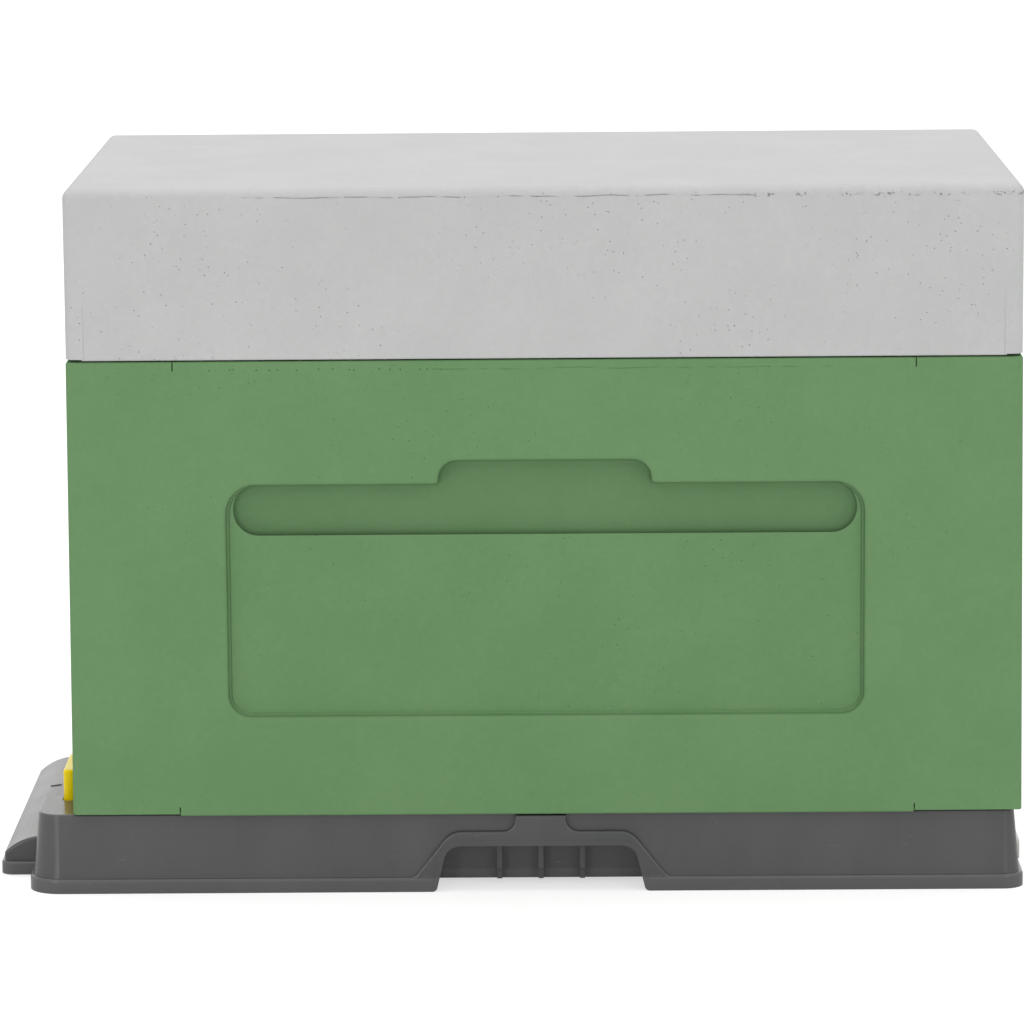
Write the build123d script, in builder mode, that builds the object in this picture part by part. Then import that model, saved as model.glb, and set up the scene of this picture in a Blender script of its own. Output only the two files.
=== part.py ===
"""Six-frame polystyrene nucleus hive: floor, gate, tray, body, hanging frames, crown sheet and roof.

Millimetres, +Z up. X runs along the frames with the bee entrance at -X, and the origin lies on
the ground under the middle of the whole hive.
"""

import os
from math import atan, cos, degrees, radians, sin, tan

from build123d import *

os.makedirs("parts", exist_ok=True)

# Clearances
slide_gap = 0.5         # beside a tongue in its groove
top_gap = 0.8           # over a tongue in its groove
screw_gap = 0.1         # round a screw's shank
wire_gap = 0.1          # round a frame wire
wood_gap = 0.15         # beside glued wooden faces and the wax sheet's edges
gate_gap = 0.8          # round the gate in its slot
door_gap = 1.0          # at each end of the gate in the entrance
gate_wall_gap = 2.5     # between the gate and the body's wall
tray_gap = 0.8          # over the tray in its slot
tray_side_gap = 3.0     # beside the tray
handle_gap = 0.3        # between the tray's handle and the floor
mesh_gap = 1.5          # round the mesh in the floor's well
sheet_gap = 1.5         # round the crown sheet
rail_gap = 0.5          # at the ends and the back of a frame rail

# Frames
frame_count = 6
frame_pitch = 36.0
frame_length = 448.0    # over the side bars
frame_height = 232.0    # from under the bottom bar to the top of the top bar
lug_length = 17.0       # of the top bar beyond each side bar
top_bar_width = 25.0
top_bar_depth = 20.0
lug_depth = 10.0
neck_width = 16.0       # where the side bars' forks hold the top bar
bar_round = 1.2
side_bar_thick = 9.5
side_bar_width = 28.0
shoulder_width = 35.4
shoulder_height = 75.0
shoulder_slope = 14.0
bottom_bar_width = 19.0
bottom_bar_depth = 10.0
wax_thick = 3.0
wax_groove = 4.0        # how deep the wax sheet sits in the bars
wax_end_gap = 2.0
wire_count = 4
wire_radius = 0.4
wire_margin = 28.0      # from the bars to the first and the last wire

# Body
side_wall = 35.0        # long walls
end_wall = 24.0         # short walls
side_play = 7.0         # beside the outermost frames
end_play = 8.5          # between side bars and end walls
bar_drop = 7.0          # top bars below the rim
foot_gap = 10.0         # bottom bars above the body's foot
body_draft = 1.2        # how much wider each side is at the foot
body_corner = 3.0
inner_corner = 6.0
rim_round = 1.2
lug_play = 2.5
tongue_inset = 6.0
tongue_width = 6.0
tongue_height = 6.0
pry_length = 58.5
pry_depth = 5.0
pry_height = 1.2
nick_width = 0.7        # crack that the mould leaves at each pry step
nick_height = 5.0
nick_depth = 2.0

# Hand recess in each long wall: a rounded rim, a narrow ledge, a panel and a deeper slot
recess_width = 343.4    # at the ledge
recess_height = 126.8
recess_drop = 67.5      # below the body's rim
recess_crown = 16.0     # corners at its top
recess_corner = 12.0    # corners at its foot
recess_round = 2.2
ledge_depth = 3.0
ledge_step = 1.0        # from the ledge's outline to the panel's
panel_depth = 4.6
panel_slope = 28.0      # degrees
slot_inset = 3.5        # of the slot's ends from the ledge's
slot_undercut = 0.3     # of the slot's top and thumb beyond the ledge's
slot_height = 28.3
slot_depth = 11.0
slot_slope = 6.0        # degrees
slot_end_round = 13.9   # a little under half the slot's height
slot_round = 4.0        # at the back of the slot
thumb_width = 114.1
thumb_rise = 12.8
thumb_corner = 10.0
thumb_foot = 2.4

# Frame rails and screws
rail_thick = 1.2
rail_leg = 14.0
rail_screw_count = 3
rail_screw_margin = 25.0
rail_screw_length = 18.0
screw_radius = 1.5
head_radius = 3.0
head_height = 1.6

# Crown sheet and roof
sheet_thick = 2.0
sheet_corner = 6.0
roof_height = 93.0
roof_round = 5.0
roof_corner = 5.2       # a little over the round of the top edge
roof_joint = 0.7        # open joint line over the body's outer rim
roof_relief = 9.0       # corners where that joint is wider
roof_relief_height = 0.8
roof_top = 43.0
roof_ledge = 10.0       # how far the roof reaches in past the body's walls

# Floor
floor_height = 43.0
floor_plate = 4.0
floor_shell = 3.0
floor_slope = 5.2       # degrees
lip_height = 8.0
lip_proud = 2.1
lip_round = 1.7
porch_reach = 21.3      # top plate beyond the body's entrance wall
rear_reach = 1.7        # foot lip beyond the body's rear foot
entrance_corner = 12.0
rear_corner = 6.0
bee_level = 23.0        # height of the entrance's floor and of the mesh
door_width = 196.0

# Floor mesh
mesh_thick = 3.0
mesh_rows = 24
mesh_columns = 12
mesh_bar = 4.8
mesh_corner = 3.0
ledge_width = 16.0
mesh_screw_columns = 3
mesh_screw_margin = 7.0
mesh_screw_length = 5.5

# Landing board
landing_width = 214.0
landing_reach = 45.8    # beyond the body's entrance wall
landing_lip = 7.5
landing_lip_proud = 1.8
landing_lip_round = 1.2
landing_end_proud = 3.8 # of the lip beyond the nose's ends
landing_clear = 0.4     # above the ground
landing_brow = 12.2     # height of the nose's front corner
landing_brow_round = 2.8
landing_top = 21.2
landing_pitch = 5.0     # degrees, where it meets the floor's end wall
landing_hollow = 11.0
landing_wall = 4.0
landing_corner = 7.0
landing_round = 1.5

# Pads on the landing board in front of the entrance
pad_count = 3
pad_pitch = 35.0
pad_length = 20.0
pad_reach = 6.5         # beyond the floor's end wall
pad_rise = 0.5
pad_corner = 4.0

# Entrance gate
gate_plate = 3.5
gate_overlap = 12.0     # of the grips beyond each end of the entrance
grip_thick = 7.5
grip_length = 45.0
grip_rise = 17.0        # above the floor's top plate
grip_sink = 9.0         # below it
grip_end_round = 3.4    # a little under half the grip's thickness
gate_slot_round = 1.6   # corners of the gate's slot
grip_round = 1.5
bridge_rise = 6.0

# Finger notch in each long wall of the floor
notch_shift = -3.5      # from the middle of the body
notch_foot = 114.0
notch_top = 102.0
notch_height = 25.4
notch_corner = 9.0
notch_depth = 20.0
notch_clear = 3.0       # of the notch's walls above the ground
notch_lip_round = 3.0
rib_count = 3
rib_pitch = 22.6
rib_thick = 2.8
rib_reach = 8.0
rib_foot_reach = 5.0
rib_slope_height = 6.5
rib_clear = 3.7
band_foot = 140.0
band_top = 98.0
band_height = 33.2
band_corner = 12.0
band_depth = 7.0
band_round = 1.2
band_inset = 0.2        # of the band's face behind the lip's
band_sink = 1.2         # of the band's feet into the lip
tab_width = 27.8
tab_drop = 0.8
tab_foot = 7.0

# Inspection tray
tray_thick = 3.0
tray_level = 10.0
tray_inset = 8.0        # from the entrance end of the well
runner_width = 9.0
runner_thick = 3.0
handle_rise = 6.0
handle_side = 4.0
handle_round = 2.5

# Lengths and levels that follow from the sizes above
top_bar_length = frame_length + 2 * lug_length
inner_length = frame_length + 2 * end_play
inner_width = frame_count * frame_pitch + 2 * side_play
body_length = inner_length + 2 * end_wall
body_width = inner_width + 2 * side_wall
body_height = bar_drop + frame_height + foot_gap
foot_length = body_length + 2 * body_draft
foot_width = body_width + 2 * body_draft
body_top = floor_height + body_height
bar_top = body_top - bar_drop
bar_under = bar_top - top_bar_depth
frame_foot = bar_top - frame_height
lug_seat = bar_top - lug_depth
rail_seat = lug_seat - rail_thick
rail_length = inner_width - 2 * inner_corner - 2 * rail_gap
rail_screw_z = (rail_seat + lug_seat - rail_leg) / 2
rebate_length = top_bar_length + 2 * lug_play
groove_depth = tongue_height + top_gap
recess_top = body_top - recess_drop
recess_middle = recess_top - recess_height / 2
slot_top = recess_top + slot_undercut
slot_middle = slot_top - slot_height / 2
panel_top = slot_top - ledge_step
panel_foot = recess_top - recess_height + ledge_step

slope_run = tan(radians(floor_slope))
wall_lean = (floor_height - lip_height) * slope_run
floor_inset = wall_lean + lip_proud
floor_front = -(body_length / 2 + porch_reach)
rear_end = foot_length / 2 + rear_reach
floor_back = rear_end - floor_inset
floor_length = floor_back - floor_front
floor_middle = (floor_back + floor_front) / 2
floor_width = foot_width - 2 * floor_inset
plate_under = floor_height - floor_plate
ledge_top = bee_level - mesh_thick
ledge_under = ledge_top - floor_shell
well_front = -inner_length / 2
mesh_screw_x = (inner_length - 2 * mesh_gap - 2 * mesh_screw_margin) / (mesh_screw_columns - 1)
mesh_screw_y = inner_width - 2 * mesh_gap - 2 * mesh_screw_margin
gate_width = door_width + 2 * gate_overlap
gate_x = -(body_length / 2 + gate_wall_gap + grip_thick / 2)
tray_half = inner_width / 2 - tray_side_gap
tray_slot_half = inner_width / 2 - tray_side_gap / 2
landing_front = -(body_length / 2 + landing_reach)
landing_nose = landing_front + landing_lip_proud
landing_root = floor_front - wall_lean
landing_back = floor_front + floor_shell / 2
pad_front = landing_root - pad_reach
pad_foot = (landing_clear + landing_hollow + landing_top) / 2
hive_x = -(landing_front + rear_end) / 2


def level(z):
    """Level plane at height z, on the middle of the body."""
    return Plane((hive_x, 0, z))


def long_side(side, reach, shift=0):
    """Upright plane that faces out of a long side, -1 or 1, with its y along +Z."""
    return Plane((hive_x + shift, side * reach, 0), x_dir=(-side, 0, 0), z_dir=(0, side, 0))


def cross_section(y):
    """Upright plane along the hive at y, with its x along +X and its y along +Z."""
    return Plane((hive_x, y, 0), x_dir=(1, 0, 0), z_dir=(0, -1, 0))


def end_section(x):
    """Upright plane across the hive at x from its middle, with its y along +Z."""
    return Plane((hive_x + x, 0, 0), x_dir=(0, 1, 0), z_dir=(1, 0, 0))


def spread(count, span):
    """Evenly spaced places over a span about zero."""
    return [span * (i / (count - 1) - 0.5) for i in range(count)]


def save(part, name):
    """Label a finished piece and write its file."""
    part.label = name
    export_step(part, f"parts/{name}.step")


def floor_outline(z, grow):
    """Outline of the floor's top plate at height z, grown outwards."""
    with BuildSketch(level(z), mode=Mode.PRIVATE) as outline:
        with Locations((floor_middle, 0)):
            Rectangle(floor_length + 2 * grow, floor_width + 2 * grow)
        fillet(outline.vertices().group_by(Axis.X)[0], entrance_corner + grow)
        fillet(outline.vertices().group_by(Axis.X)[-1], rear_corner + grow)
    return outline.sketch


def rim_ring(z, gap):
    """Ring of a tongue at height z, or of its groove with play beside the tongue."""
    outer = tongue_inset - gap
    inner = tongue_inset + tongue_width + gap
    with BuildSketch(level(z), mode=Mode.PRIVATE) as ring:
        RectangleRounded(body_length - 2 * outer, body_width - 2 * outer, body_corner)
        RectangleRounded(
            body_length - 2 * inner, body_width - 2 * inner, body_corner / 2, mode=Mode.SUBTRACT
        )
    return ring.sketch


def with_thumb(outline, top, width, rise, corner, foot):
    """Round a thumb recess onto the top edge of an outline that is being drawn."""
    with Locations((0, top + rise - (rise + corner) / 2)):
        Rectangle(width, rise + corner)
    fillet(outline.vertices().group_by(Axis.Y)[-1], corner)
    feet = outline.vertices().sort_by(lambda v: abs(abs(v.X) - width / 2) + abs(v.Y - top))
    fillet(feet[:2], foot)


def recess_outline(plane):
    """Outline of the whole hand recess at its ledge."""
    with BuildSketch(plane, mode=Mode.PRIVATE) as outline:
        with Locations((0, recess_middle)):
            Rectangle(recess_width, recess_height)
        fillet(outline.vertices().group_by(Axis.Y)[-1], recess_crown)
        fillet(outline.vertices().group_by(Axis.Y)[0], recess_corner)
        with_thumb(outline, recess_top, thumb_width, thumb_rise, thumb_corner, thumb_foot)
    return outline.sketch


def slot_outline(plane):
    """Outline of the deep slot for the fingers, inside the recess."""
    with BuildSketch(plane, mode=Mode.PRIVATE) as outline:
        with Locations((0, slot_middle)):
            RectangleRounded(recess_width - 2 * slot_inset, slot_height, slot_end_round)
        width = thumb_width + 2 * slot_undercut
        corner = thumb_corner + slot_undercut
        with_thumb(outline, slot_top, width, thumb_rise, corner, thumb_foot - slot_undercut)
    return outline.sketch


def landing_profile(rise=0):
    """Rounded nose of the landing board, from inside the floor's end wall outwards."""
    brow = landing_brow + rise
    top = landing_top + rise
    pitch = radians(landing_pitch)
    with BuildSketch(cross_section(0), mode=Mode.PRIVATE) as profile:
        with BuildLine():
            Polyline(
                (landing_nose, brow),
                (landing_nose, landing_clear),
                (landing_back, landing_clear),
                (landing_back, top),
                (landing_root, top),
            )
            TangentArc((landing_root, top), (landing_nose, brow), tangent=(-cos(pitch), -sin(pitch)))
        make_face()
        corner = profile.vertices().sort_by(lambda v: abs(v.X - landing_nose) + abs(v.Y - brow))
        fillet(corner[:1], landing_brow_round)
    return profile.sketch


def notch_shell(plane):
    """Outline of a finger notch's walls on a long side's plane."""
    with BuildSketch(plane, mode=Mode.PRIVATE) as shell:
        with BuildLine():
            Polyline(
                (notch_foot / 2 + floor_shell, notch_clear),
                (notch_top / 2 + floor_shell, notch_height + floor_shell),
                (-notch_top / 2 - floor_shell, notch_height + floor_shell),
                (-notch_foot / 2 - floor_shell, notch_clear),
                close=True,
            )
        make_face()
        fillet(shell.vertices().sort_by(Axis.Y)[-2:], notch_corner + floor_shell)
    return shell.sketch


def notch_opening(plane):
    """Opening of a finger notch, which widens in a round where it runs out under the lip."""
    right = [
        (notch_foot / 2 + notch_lip_round, -notch_lip_round),
        (notch_foot / 2 + notch_lip_round, 0),
        (notch_foot / 2, 0),
        (notch_top / 2, notch_height),
    ]
    left = [(-x, z) for x, z in reversed(right)]
    with BuildSketch(plane, mode=Mode.PRIVATE) as opening:
        with BuildLine():
            Polyline(*right, *left, close=True)
        make_face()
        fillet(opening.vertices().sort_by(Axis.Y)[-2:], notch_corner)
        lip_corners = opening.vertices().sort_by(lambda v: abs(abs(v.X) - notch_foot / 2) + abs(v.Y))
        fillet(lip_corners[:2], notch_lip_round)
    return opening.sketch


def band_profile(plane):
    """Proud band over a finger notch, with a tab that runs up to the top plate."""
    wing = band_foot / 2 + 2 * band_corner
    foot = lip_height - band_sink
    right = [
        (wing, foot / 2),
        (wing, foot),
        (band_foot / 2, foot),
        (band_top / 2, band_height),
        (tab_width / 2, band_height),
        (tab_width / 2, floor_height - tab_drop),
    ]
    left = [(-x, z) for x, z in reversed(right)]
    rounds = {right[2]: band_corner, right[3]: band_corner, right[4]: tab_foot}
    with BuildSketch(plane, mode=Mode.PRIVATE) as band:
        with BuildLine():
            Polyline(*right, *left, close=True)
        make_face()
        for (x, z), radius in rounds.items():
            corners = band.vertices().sort_by(lambda v: abs(abs(v.X) - x) + abs(v.Y - z))[:2]
            fillet(corners, radius)
    return band.sketch


# Lip round the foot of the landing board
with BuildPart() as landing_foot:
    with BuildSketch(level(landing_clear)) as foot_plan:
        with Locations(((landing_front + floor_front) / 2, 0)):
            Rectangle(floor_front - landing_front, landing_width)
        fillet(foot_plan.vertices().group_by(Axis.X)[0], landing_corner)
    extrude(amount=landing_lip - landing_clear)
    fillet(landing_foot.faces().sort_by(Axis.Z)[-1].edges().sort_by(Axis.X)[:-1], landing_lip_round)

# Pads that stand a little proud of the landing board
with BuildPart() as landing_pads:
    extrude(landing_profile(pad_rise), amount=pad_count * pad_pitch / 2, both=True)
    with BuildSketch(level(pad_foot)) as pad_plan:
        with Locations(((pad_front + landing_back) / 2, 0)):
            with GridLocations(0, pad_pitch, 1, pad_count):
                Rectangle(landing_back - pad_front, pad_length)
        fillet(pad_plan.vertices().group_by(Axis.X)[0], pad_corner)
    extrude(amount=bee_level, mode=Mode.INTERSECT)

# Landing board: a hollow nose with pads on it in front of the entrance
with BuildPart() as landing:
    nose_width = landing_width - 2 * landing_end_proud
    extrude(landing_profile(), amount=nose_width / 2, both=True)
    for side in (-1, 1):
        nose_end = landing.faces().filter_by(Axis.Y).sort_by(lambda f: side * f.center().Y)[-1]
        fillet(nose_end.edges().sort_by(Axis.Z)[1:].sort_by(Axis.X)[:-1], landing_round)
    add(landing_foot.part)
    hollow_back = floor_front - floor_inset
    hollow_front = landing_nose + landing_wall
    with BuildSketch(level(landing_clear)):
        with Locations(((hollow_front + hollow_back) / 2, 0)):
            Rectangle(hollow_back - hollow_front, nose_width - 2 * landing_wall)
    extrude(amount=landing_hollow, mode=Mode.SUBTRACT)
    add(landing_pads.part)


def notch_band(side):
    """Proud band round a finger notch, with its outer edges rounded."""
    with BuildPart() as band:
        extrude(band_profile(long_side(side, foot_width / 2 - band_inset, notch_shift)), amount=-band_depth)
        outer = band.faces().filter_by(Axis.Y).sort_by(lambda f: side * f.center().Y)[-1]
        fillet(outer.edges().group_by(Axis.Z)[2:], band_round)
    return band.part


bands = [notch_band(-1), notch_band(1)]

# Floor: a moulded tray turned over, with a well for the mesh and a tunnel for the bees
with BuildPart() as floor_board:
    extrude(floor_outline(0, floor_height * slope_run), amount=floor_height, taper=floor_slope)
    fillet(floor_board.faces().sort_by(Axis.Z)[-1].edges(), rim_round)
    extrude(floor_outline(0, floor_inset), amount=lip_height)
    lip_top = floor_board.faces().filter_by(Axis.Z).sort_by(Axis.Z)[1]
    fillet(lip_top.outer_wire().edges(), lip_round)
    add(landing.part)
    add(bands)
    extrude(
        floor_outline(0, floor_height * slope_run - floor_shell),
        amount=plate_under,
        taper=floor_slope,
        mode=Mode.SUBTRACT,
    )

    # The well under the frames, with a ledge for the mesh
    with BuildSketch(level(ledge_under)):
        Rectangle(inner_length + 2 * floor_shell, inner_width + 2 * floor_shell)
    extrude(amount=plate_under - ledge_under)
    with BuildSketch(level(ledge_top)):
        Rectangle(inner_length, inner_width)
    extrude(amount=floor_height - ledge_top, mode=Mode.SUBTRACT)
    with BuildSketch(level(ledge_under)):
        Rectangle(inner_length - 2 * ledge_width, inner_width - 2 * ledge_width)
    extrude(amount=floor_shell, mode=Mode.SUBTRACT)

    # The bees' tunnel from the landing board into the well
    with BuildSketch(level(bee_level - floor_shell)):
        with Locations(((floor_front + well_front) / 2, 0)):
            Rectangle(well_front - floor_front, door_width + 2 * floor_shell)
    extrude(amount=plate_under - bee_level + floor_shell)
    tunnel_front = floor_front - floor_inset
    tunnel_back = well_front + floor_shell
    with BuildSketch(level(bee_level)):
        with Locations(((tunnel_front + tunnel_back) / 2, 0)):
            Rectangle(tunnel_back - tunnel_front, door_width)
    extrude(amount=plate_under - bee_level, mode=Mode.SUBTRACT)

    # Runners and a slot in the rear wall for the tray
    runner_front = well_front - floor_shell
    for side in (-1, 1):
        with BuildSketch(level(tray_level - runner_thick)):
            with Locations(((runner_front + floor_back) / 2, side * (inner_width + floor_shell) / 2)):
                Rectangle(floor_back - runner_front, floor_shell)
        extrude(amount=ledge_under - tray_level + runner_thick)
        with BuildSketch(level(tray_level - runner_thick)):
            with Locations(((runner_front + floor_back) / 2, side * (inner_width - runner_width) / 2)):
                Rectangle(floor_back - runner_front, runner_width)
        extrude(amount=runner_thick)
    with BuildSketch(end_section(floor_back - floor_shell)):
        with Locations((0, tray_level + (tray_thick + tray_gap) / 2)):
            Rectangle(2 * tray_slot_half, tray_thick + tray_gap)
    extrude(amount=floor_shell + floor_inset, mode=Mode.SUBTRACT)

    # Finger notches with their ribs
    for side in (-1, 1):
        wall_plane = long_side(side, foot_width / 2, notch_shift)
        extrude(notch_shell(wall_plane), amount=-notch_depth - floor_shell)
        extrude(notch_opening(wall_plane), amount=-notch_depth, mode=Mode.SUBTRACT)
        notch_back = foot_width / 2 - notch_depth
        rib_outline = [
            (notch_back, rib_clear),
            (notch_back + rib_foot_reach, rib_clear),
            (notch_back + rib_reach, rib_clear + rib_slope_height),
            (notch_back + rib_reach, notch_height),
            (notch_back, notch_height),
        ]
        for x in spread(rib_count, (rib_count - 1) * rib_pitch):
            with BuildSketch(end_section(notch_shift + x)):
                with BuildLine():
                    Polyline(*[(side * y, z) for y, z in rib_outline], close=True)
                make_face()
            extrude(amount=rib_thick / 2, both=True)

    # The porch: a gate slot between two ears, and the tongue that the body stands over
    with BuildSketch(level(floor_height)):
        with Locations((gate_x, 0)):
            RectangleRounded(grip_thick + 2 * gate_gap, gate_width + 2 * gate_gap, gate_slot_round)
    extrude(amount=-grip_sink - gate_gap, mode=Mode.SUBTRACT)
    with BuildSketch(level(bee_level)):
        with Locations(((tunnel_front + gate_x) / 2, 0)):
            Rectangle(gate_x - tunnel_front, door_width)
    extrude(amount=floor_height - bee_level, mode=Mode.SUBTRACT)
    extrude(rim_ring(floor_height, 0), amount=tongue_height)

    # Screw holes in the ledge
    with BuildSketch(level(ledge_under)):
        with GridLocations(mesh_screw_x, mesh_screw_y, mesh_screw_columns, 2):
            Circle(screw_radius + screw_gap)
    extrude(amount=floor_shell, mode=Mode.SUBTRACT)
save(floor_board.part, "floor_board")

# Floor mesh: a slotted panel that lets air through and keeps bees in
with BuildPart() as floor_mesh:
    mesh_x_pitch = (inner_length - 2 * ledge_width) / mesh_columns
    mesh_y_pitch = (inner_width - 2 * ledge_width) / mesh_rows
    with BuildSketch(level(ledge_top)):
        RectangleRounded(inner_length - 2 * mesh_gap, inner_width - 2 * mesh_gap, mesh_corner)
        with GridLocations(mesh_x_pitch, mesh_y_pitch, mesh_columns, mesh_rows):
            Rectangle(mesh_x_pitch - mesh_bar, mesh_y_pitch - mesh_bar, mode=Mode.SUBTRACT)
        with GridLocations(mesh_screw_x, mesh_screw_y, mesh_screw_columns, 2):
            Circle(screw_radius + screw_gap, mode=Mode.SUBTRACT)
    extrude(amount=mesh_thick)
save(floor_mesh.part, "floor_mesh")

# Screws that hold the mesh to the ledge
with BuildPart() as mesh_screws:
    with BuildSketch(level(bee_level)):
        with GridLocations(mesh_screw_x, mesh_screw_y, mesh_screw_columns, 2):
            Circle(head_radius)
    extrude(amount=head_height)
    with BuildSketch(level(bee_level)):
        with GridLocations(mesh_screw_x, mesh_screw_y, mesh_screw_columns, 2):
            Circle(screw_radius)
    extrude(amount=-mesh_screw_length)
save(mesh_screws.part, "mesh_screws")

# Inspection tray that slides out at the rear
with BuildPart() as inspection_tray:
    tray_front = well_front + tray_inset
    handle_front = floor_back + wall_lean + handle_gap
    handle_foot = lip_height + handle_gap
    handle_height = tray_level + tray_thick + handle_rise - handle_foot
    with BuildSketch(level(tray_level)):
        with Locations(((tray_front + handle_front) / 2, 0)):
            Rectangle(handle_front - tray_front, 2 * tray_half)
    extrude(amount=tray_thick)
    with BuildSketch(end_section(handle_front)):
        with Locations((0, handle_foot + handle_height / 2)):
            RectangleRounded(2 * (tray_slot_half + handle_side), handle_height, handle_round)
    extrude(amount=lip_proud - handle_gap)
save(inspection_tray.part, "inspection_tray")

# Entrance gate: a plate that drops through the porch and closes the tunnel
with BuildPart() as entrance_gate:
    grip_y = (gate_width - grip_length) / 2
    with BuildSketch(level(floor_height - grip_sink)):
        with Locations((gate_x, -grip_y), (gate_x, grip_y)):
            RectangleRounded(grip_thick, grip_length, grip_end_round)
    extrude(amount=grip_sink + grip_rise)
    fillet(entrance_gate.faces().filter_by(Axis.Z).group_by(Axis.Z)[-1].edges(), grip_round)
    with BuildSketch(level(bee_level)):
        with Locations((gate_x, 0)):
            Rectangle(gate_plate, door_width - 2 * door_gap)
    extrude(amount=floor_height + bridge_rise - bee_level)
save(entrance_gate.part, "entrance_gate")

# Body: four foam walls with hand recesses, a tongue on the rim and a groove in the foot
with BuildPart() as hive_body:
    with BuildSketch(level(floor_height)):
        RectangleRounded(foot_length, foot_width, body_corner + body_draft)
    extrude(amount=body_height, taper=degrees(atan(body_draft / body_height)))
    fillet(hive_body.faces().filter_by(Axis.Z).edges(), rim_round)
    with BuildSketch(level(floor_height)):
        RectangleRounded(inner_length, inner_width, inner_corner)
    extrude(amount=body_height, mode=Mode.SUBTRACT)
    with BuildSketch(level(rail_seat)):
        Rectangle(rebate_length, inner_width)
    extrude(amount=body_top - rail_seat, mode=Mode.SUBTRACT)
    extrude(rim_ring(body_top, 0), amount=tongue_height)
    extrude(rim_ring(floor_height, slide_gap), amount=groove_depth, mode=Mode.SUBTRACT)
    with BuildSketch(level(floor_height)):
        with GridLocations(foot_length - pry_length, foot_width - pry_depth, 2, 2):
            Rectangle(pry_length, pry_depth)
    extrude(amount=pry_height, mode=Mode.SUBTRACT)
    for side in (-1, 1):
        face_plane = long_side(side, foot_width / 2)
        extrude(recess_outline(face_plane), amount=-ledge_depth - body_draft / 2, mode=Mode.SUBTRACT)
        outer_faces = [f for f in hive_body.faces() if side * f.normal_at().Y > 0.99]
        outer_faces = [f for f in outer_faces if side * f.center().Y > body_width / 2 - body_draft]
        long_face = sorted(outer_faces, key=lambda f: f.area)[-1]
        fillet(long_face.inner_wires()[0].edges(), recess_round)
        ledge_plane = long_side(side, foot_width / 2 - ledge_depth - body_draft / 2)
        with BuildSketch(ledge_plane) as panel:
            with Locations((0, (panel_top + panel_foot) / 2)):
                Rectangle(recess_width - 2 * ledge_step, panel_top - panel_foot)
            fillet(panel.vertices().group_by(Axis.Y)[-1], recess_crown - ledge_step)
            fillet(panel.vertices().group_by(Axis.Y)[0], recess_corner - ledge_step)
        extrude(amount=ledge_depth - panel_depth, taper=panel_slope, mode=Mode.SUBTRACT)
        extrude(
            slot_outline(ledge_plane), amount=ledge_depth - slot_depth, taper=slot_slope, mode=Mode.SUBTRACT
        )
        slot_back = side * (foot_width / 2 - slot_depth - body_draft / 2)
        back_faces = hive_body.faces().filter_by(Axis.Y)
        slot_face = back_faces.sort_by(lambda f: abs(f.center().Y - slot_back))[0]
        fillet(slot_face.edges(), slot_round)
        nick_spacing = foot_length - 2 * pry_length
        for z in (floor_height, body_top - nick_height):
            with BuildSketch(face_plane):
                with Locations((0, z + nick_height / 2)):
                    with GridLocations(nick_spacing, 0, 2, 1):
                        Rectangle(nick_width, nick_height)
            extrude(amount=-nick_depth - body_draft, mode=Mode.SUBTRACT)
    for end in (-1, 1):
        for y in spread(rail_screw_count, rail_length - 2 * rail_screw_margin):
            with BuildSketch(end_section(end * inner_length / 2)):
                with Locations((y, rail_screw_z)):
                    Circle(screw_radius + screw_gap)
            extrude(amount=end * (rail_screw_length - rail_thick), mode=Mode.SUBTRACT)
save(hive_body.part, "hive_body")


def frame_rail(end):
    """Folded strip in an end wall's rebate that the frames' lugs rest on."""
    inside = inner_length / 2 - rail_thick
    outside = rebate_length / 2 - rail_gap
    outline = [
        (inside, lug_seat),
        (outside, lug_seat),
        (outside, rail_seat),
        (inner_length / 2, rail_seat),
        (inner_length / 2, lug_seat - rail_leg),
        (inside, lug_seat - rail_leg),
    ]
    with BuildPart() as rail:
        with BuildSketch(cross_section(0)):
            with BuildLine():
                Polyline(*[(end * x, z) for x, z in outline], close=True)
            make_face()
        extrude(amount=rail_length / 2, both=True)
        for y in spread(rail_screw_count, rail_length - 2 * rail_screw_margin):
            with BuildSketch(end_section(end * inside)):
                with Locations((y, rail_screw_z)):
                    Circle(screw_radius + screw_gap)
            extrude(amount=end * rail_thick, mode=Mode.SUBTRACT)
    return rail.part


save(frame_rail(-1), "frame_rail_entrance")
save(frame_rail(1), "frame_rail_rear")

# Screws that hold both rails to the end walls
with BuildPart() as rail_screws:
    for end in (-1, 1):
        for y in spread(rail_screw_count, rail_length - 2 * rail_screw_margin):
            with BuildSketch(end_section(end * (inner_length / 2 - rail_thick))):
                with Locations((y, rail_screw_z)):
                    Circle(head_radius)
            extrude(amount=-end * head_height)
            with BuildSketch(end_section(end * (inner_length / 2 - rail_thick))):
                with Locations((y, rail_screw_z)):
                    Circle(screw_radius)
            extrude(amount=end * rail_screw_length)
save(rail_screws.part, "rail_screws")

# Heights of the wires in every frame
wire_low = frame_foot + bottom_bar_depth + wire_margin
wire_high = bar_under - wire_margin
wire_places = [(wire_low + wire_high) / 2 + z for z in spread(wire_count, wire_high - wire_low)]


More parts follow.
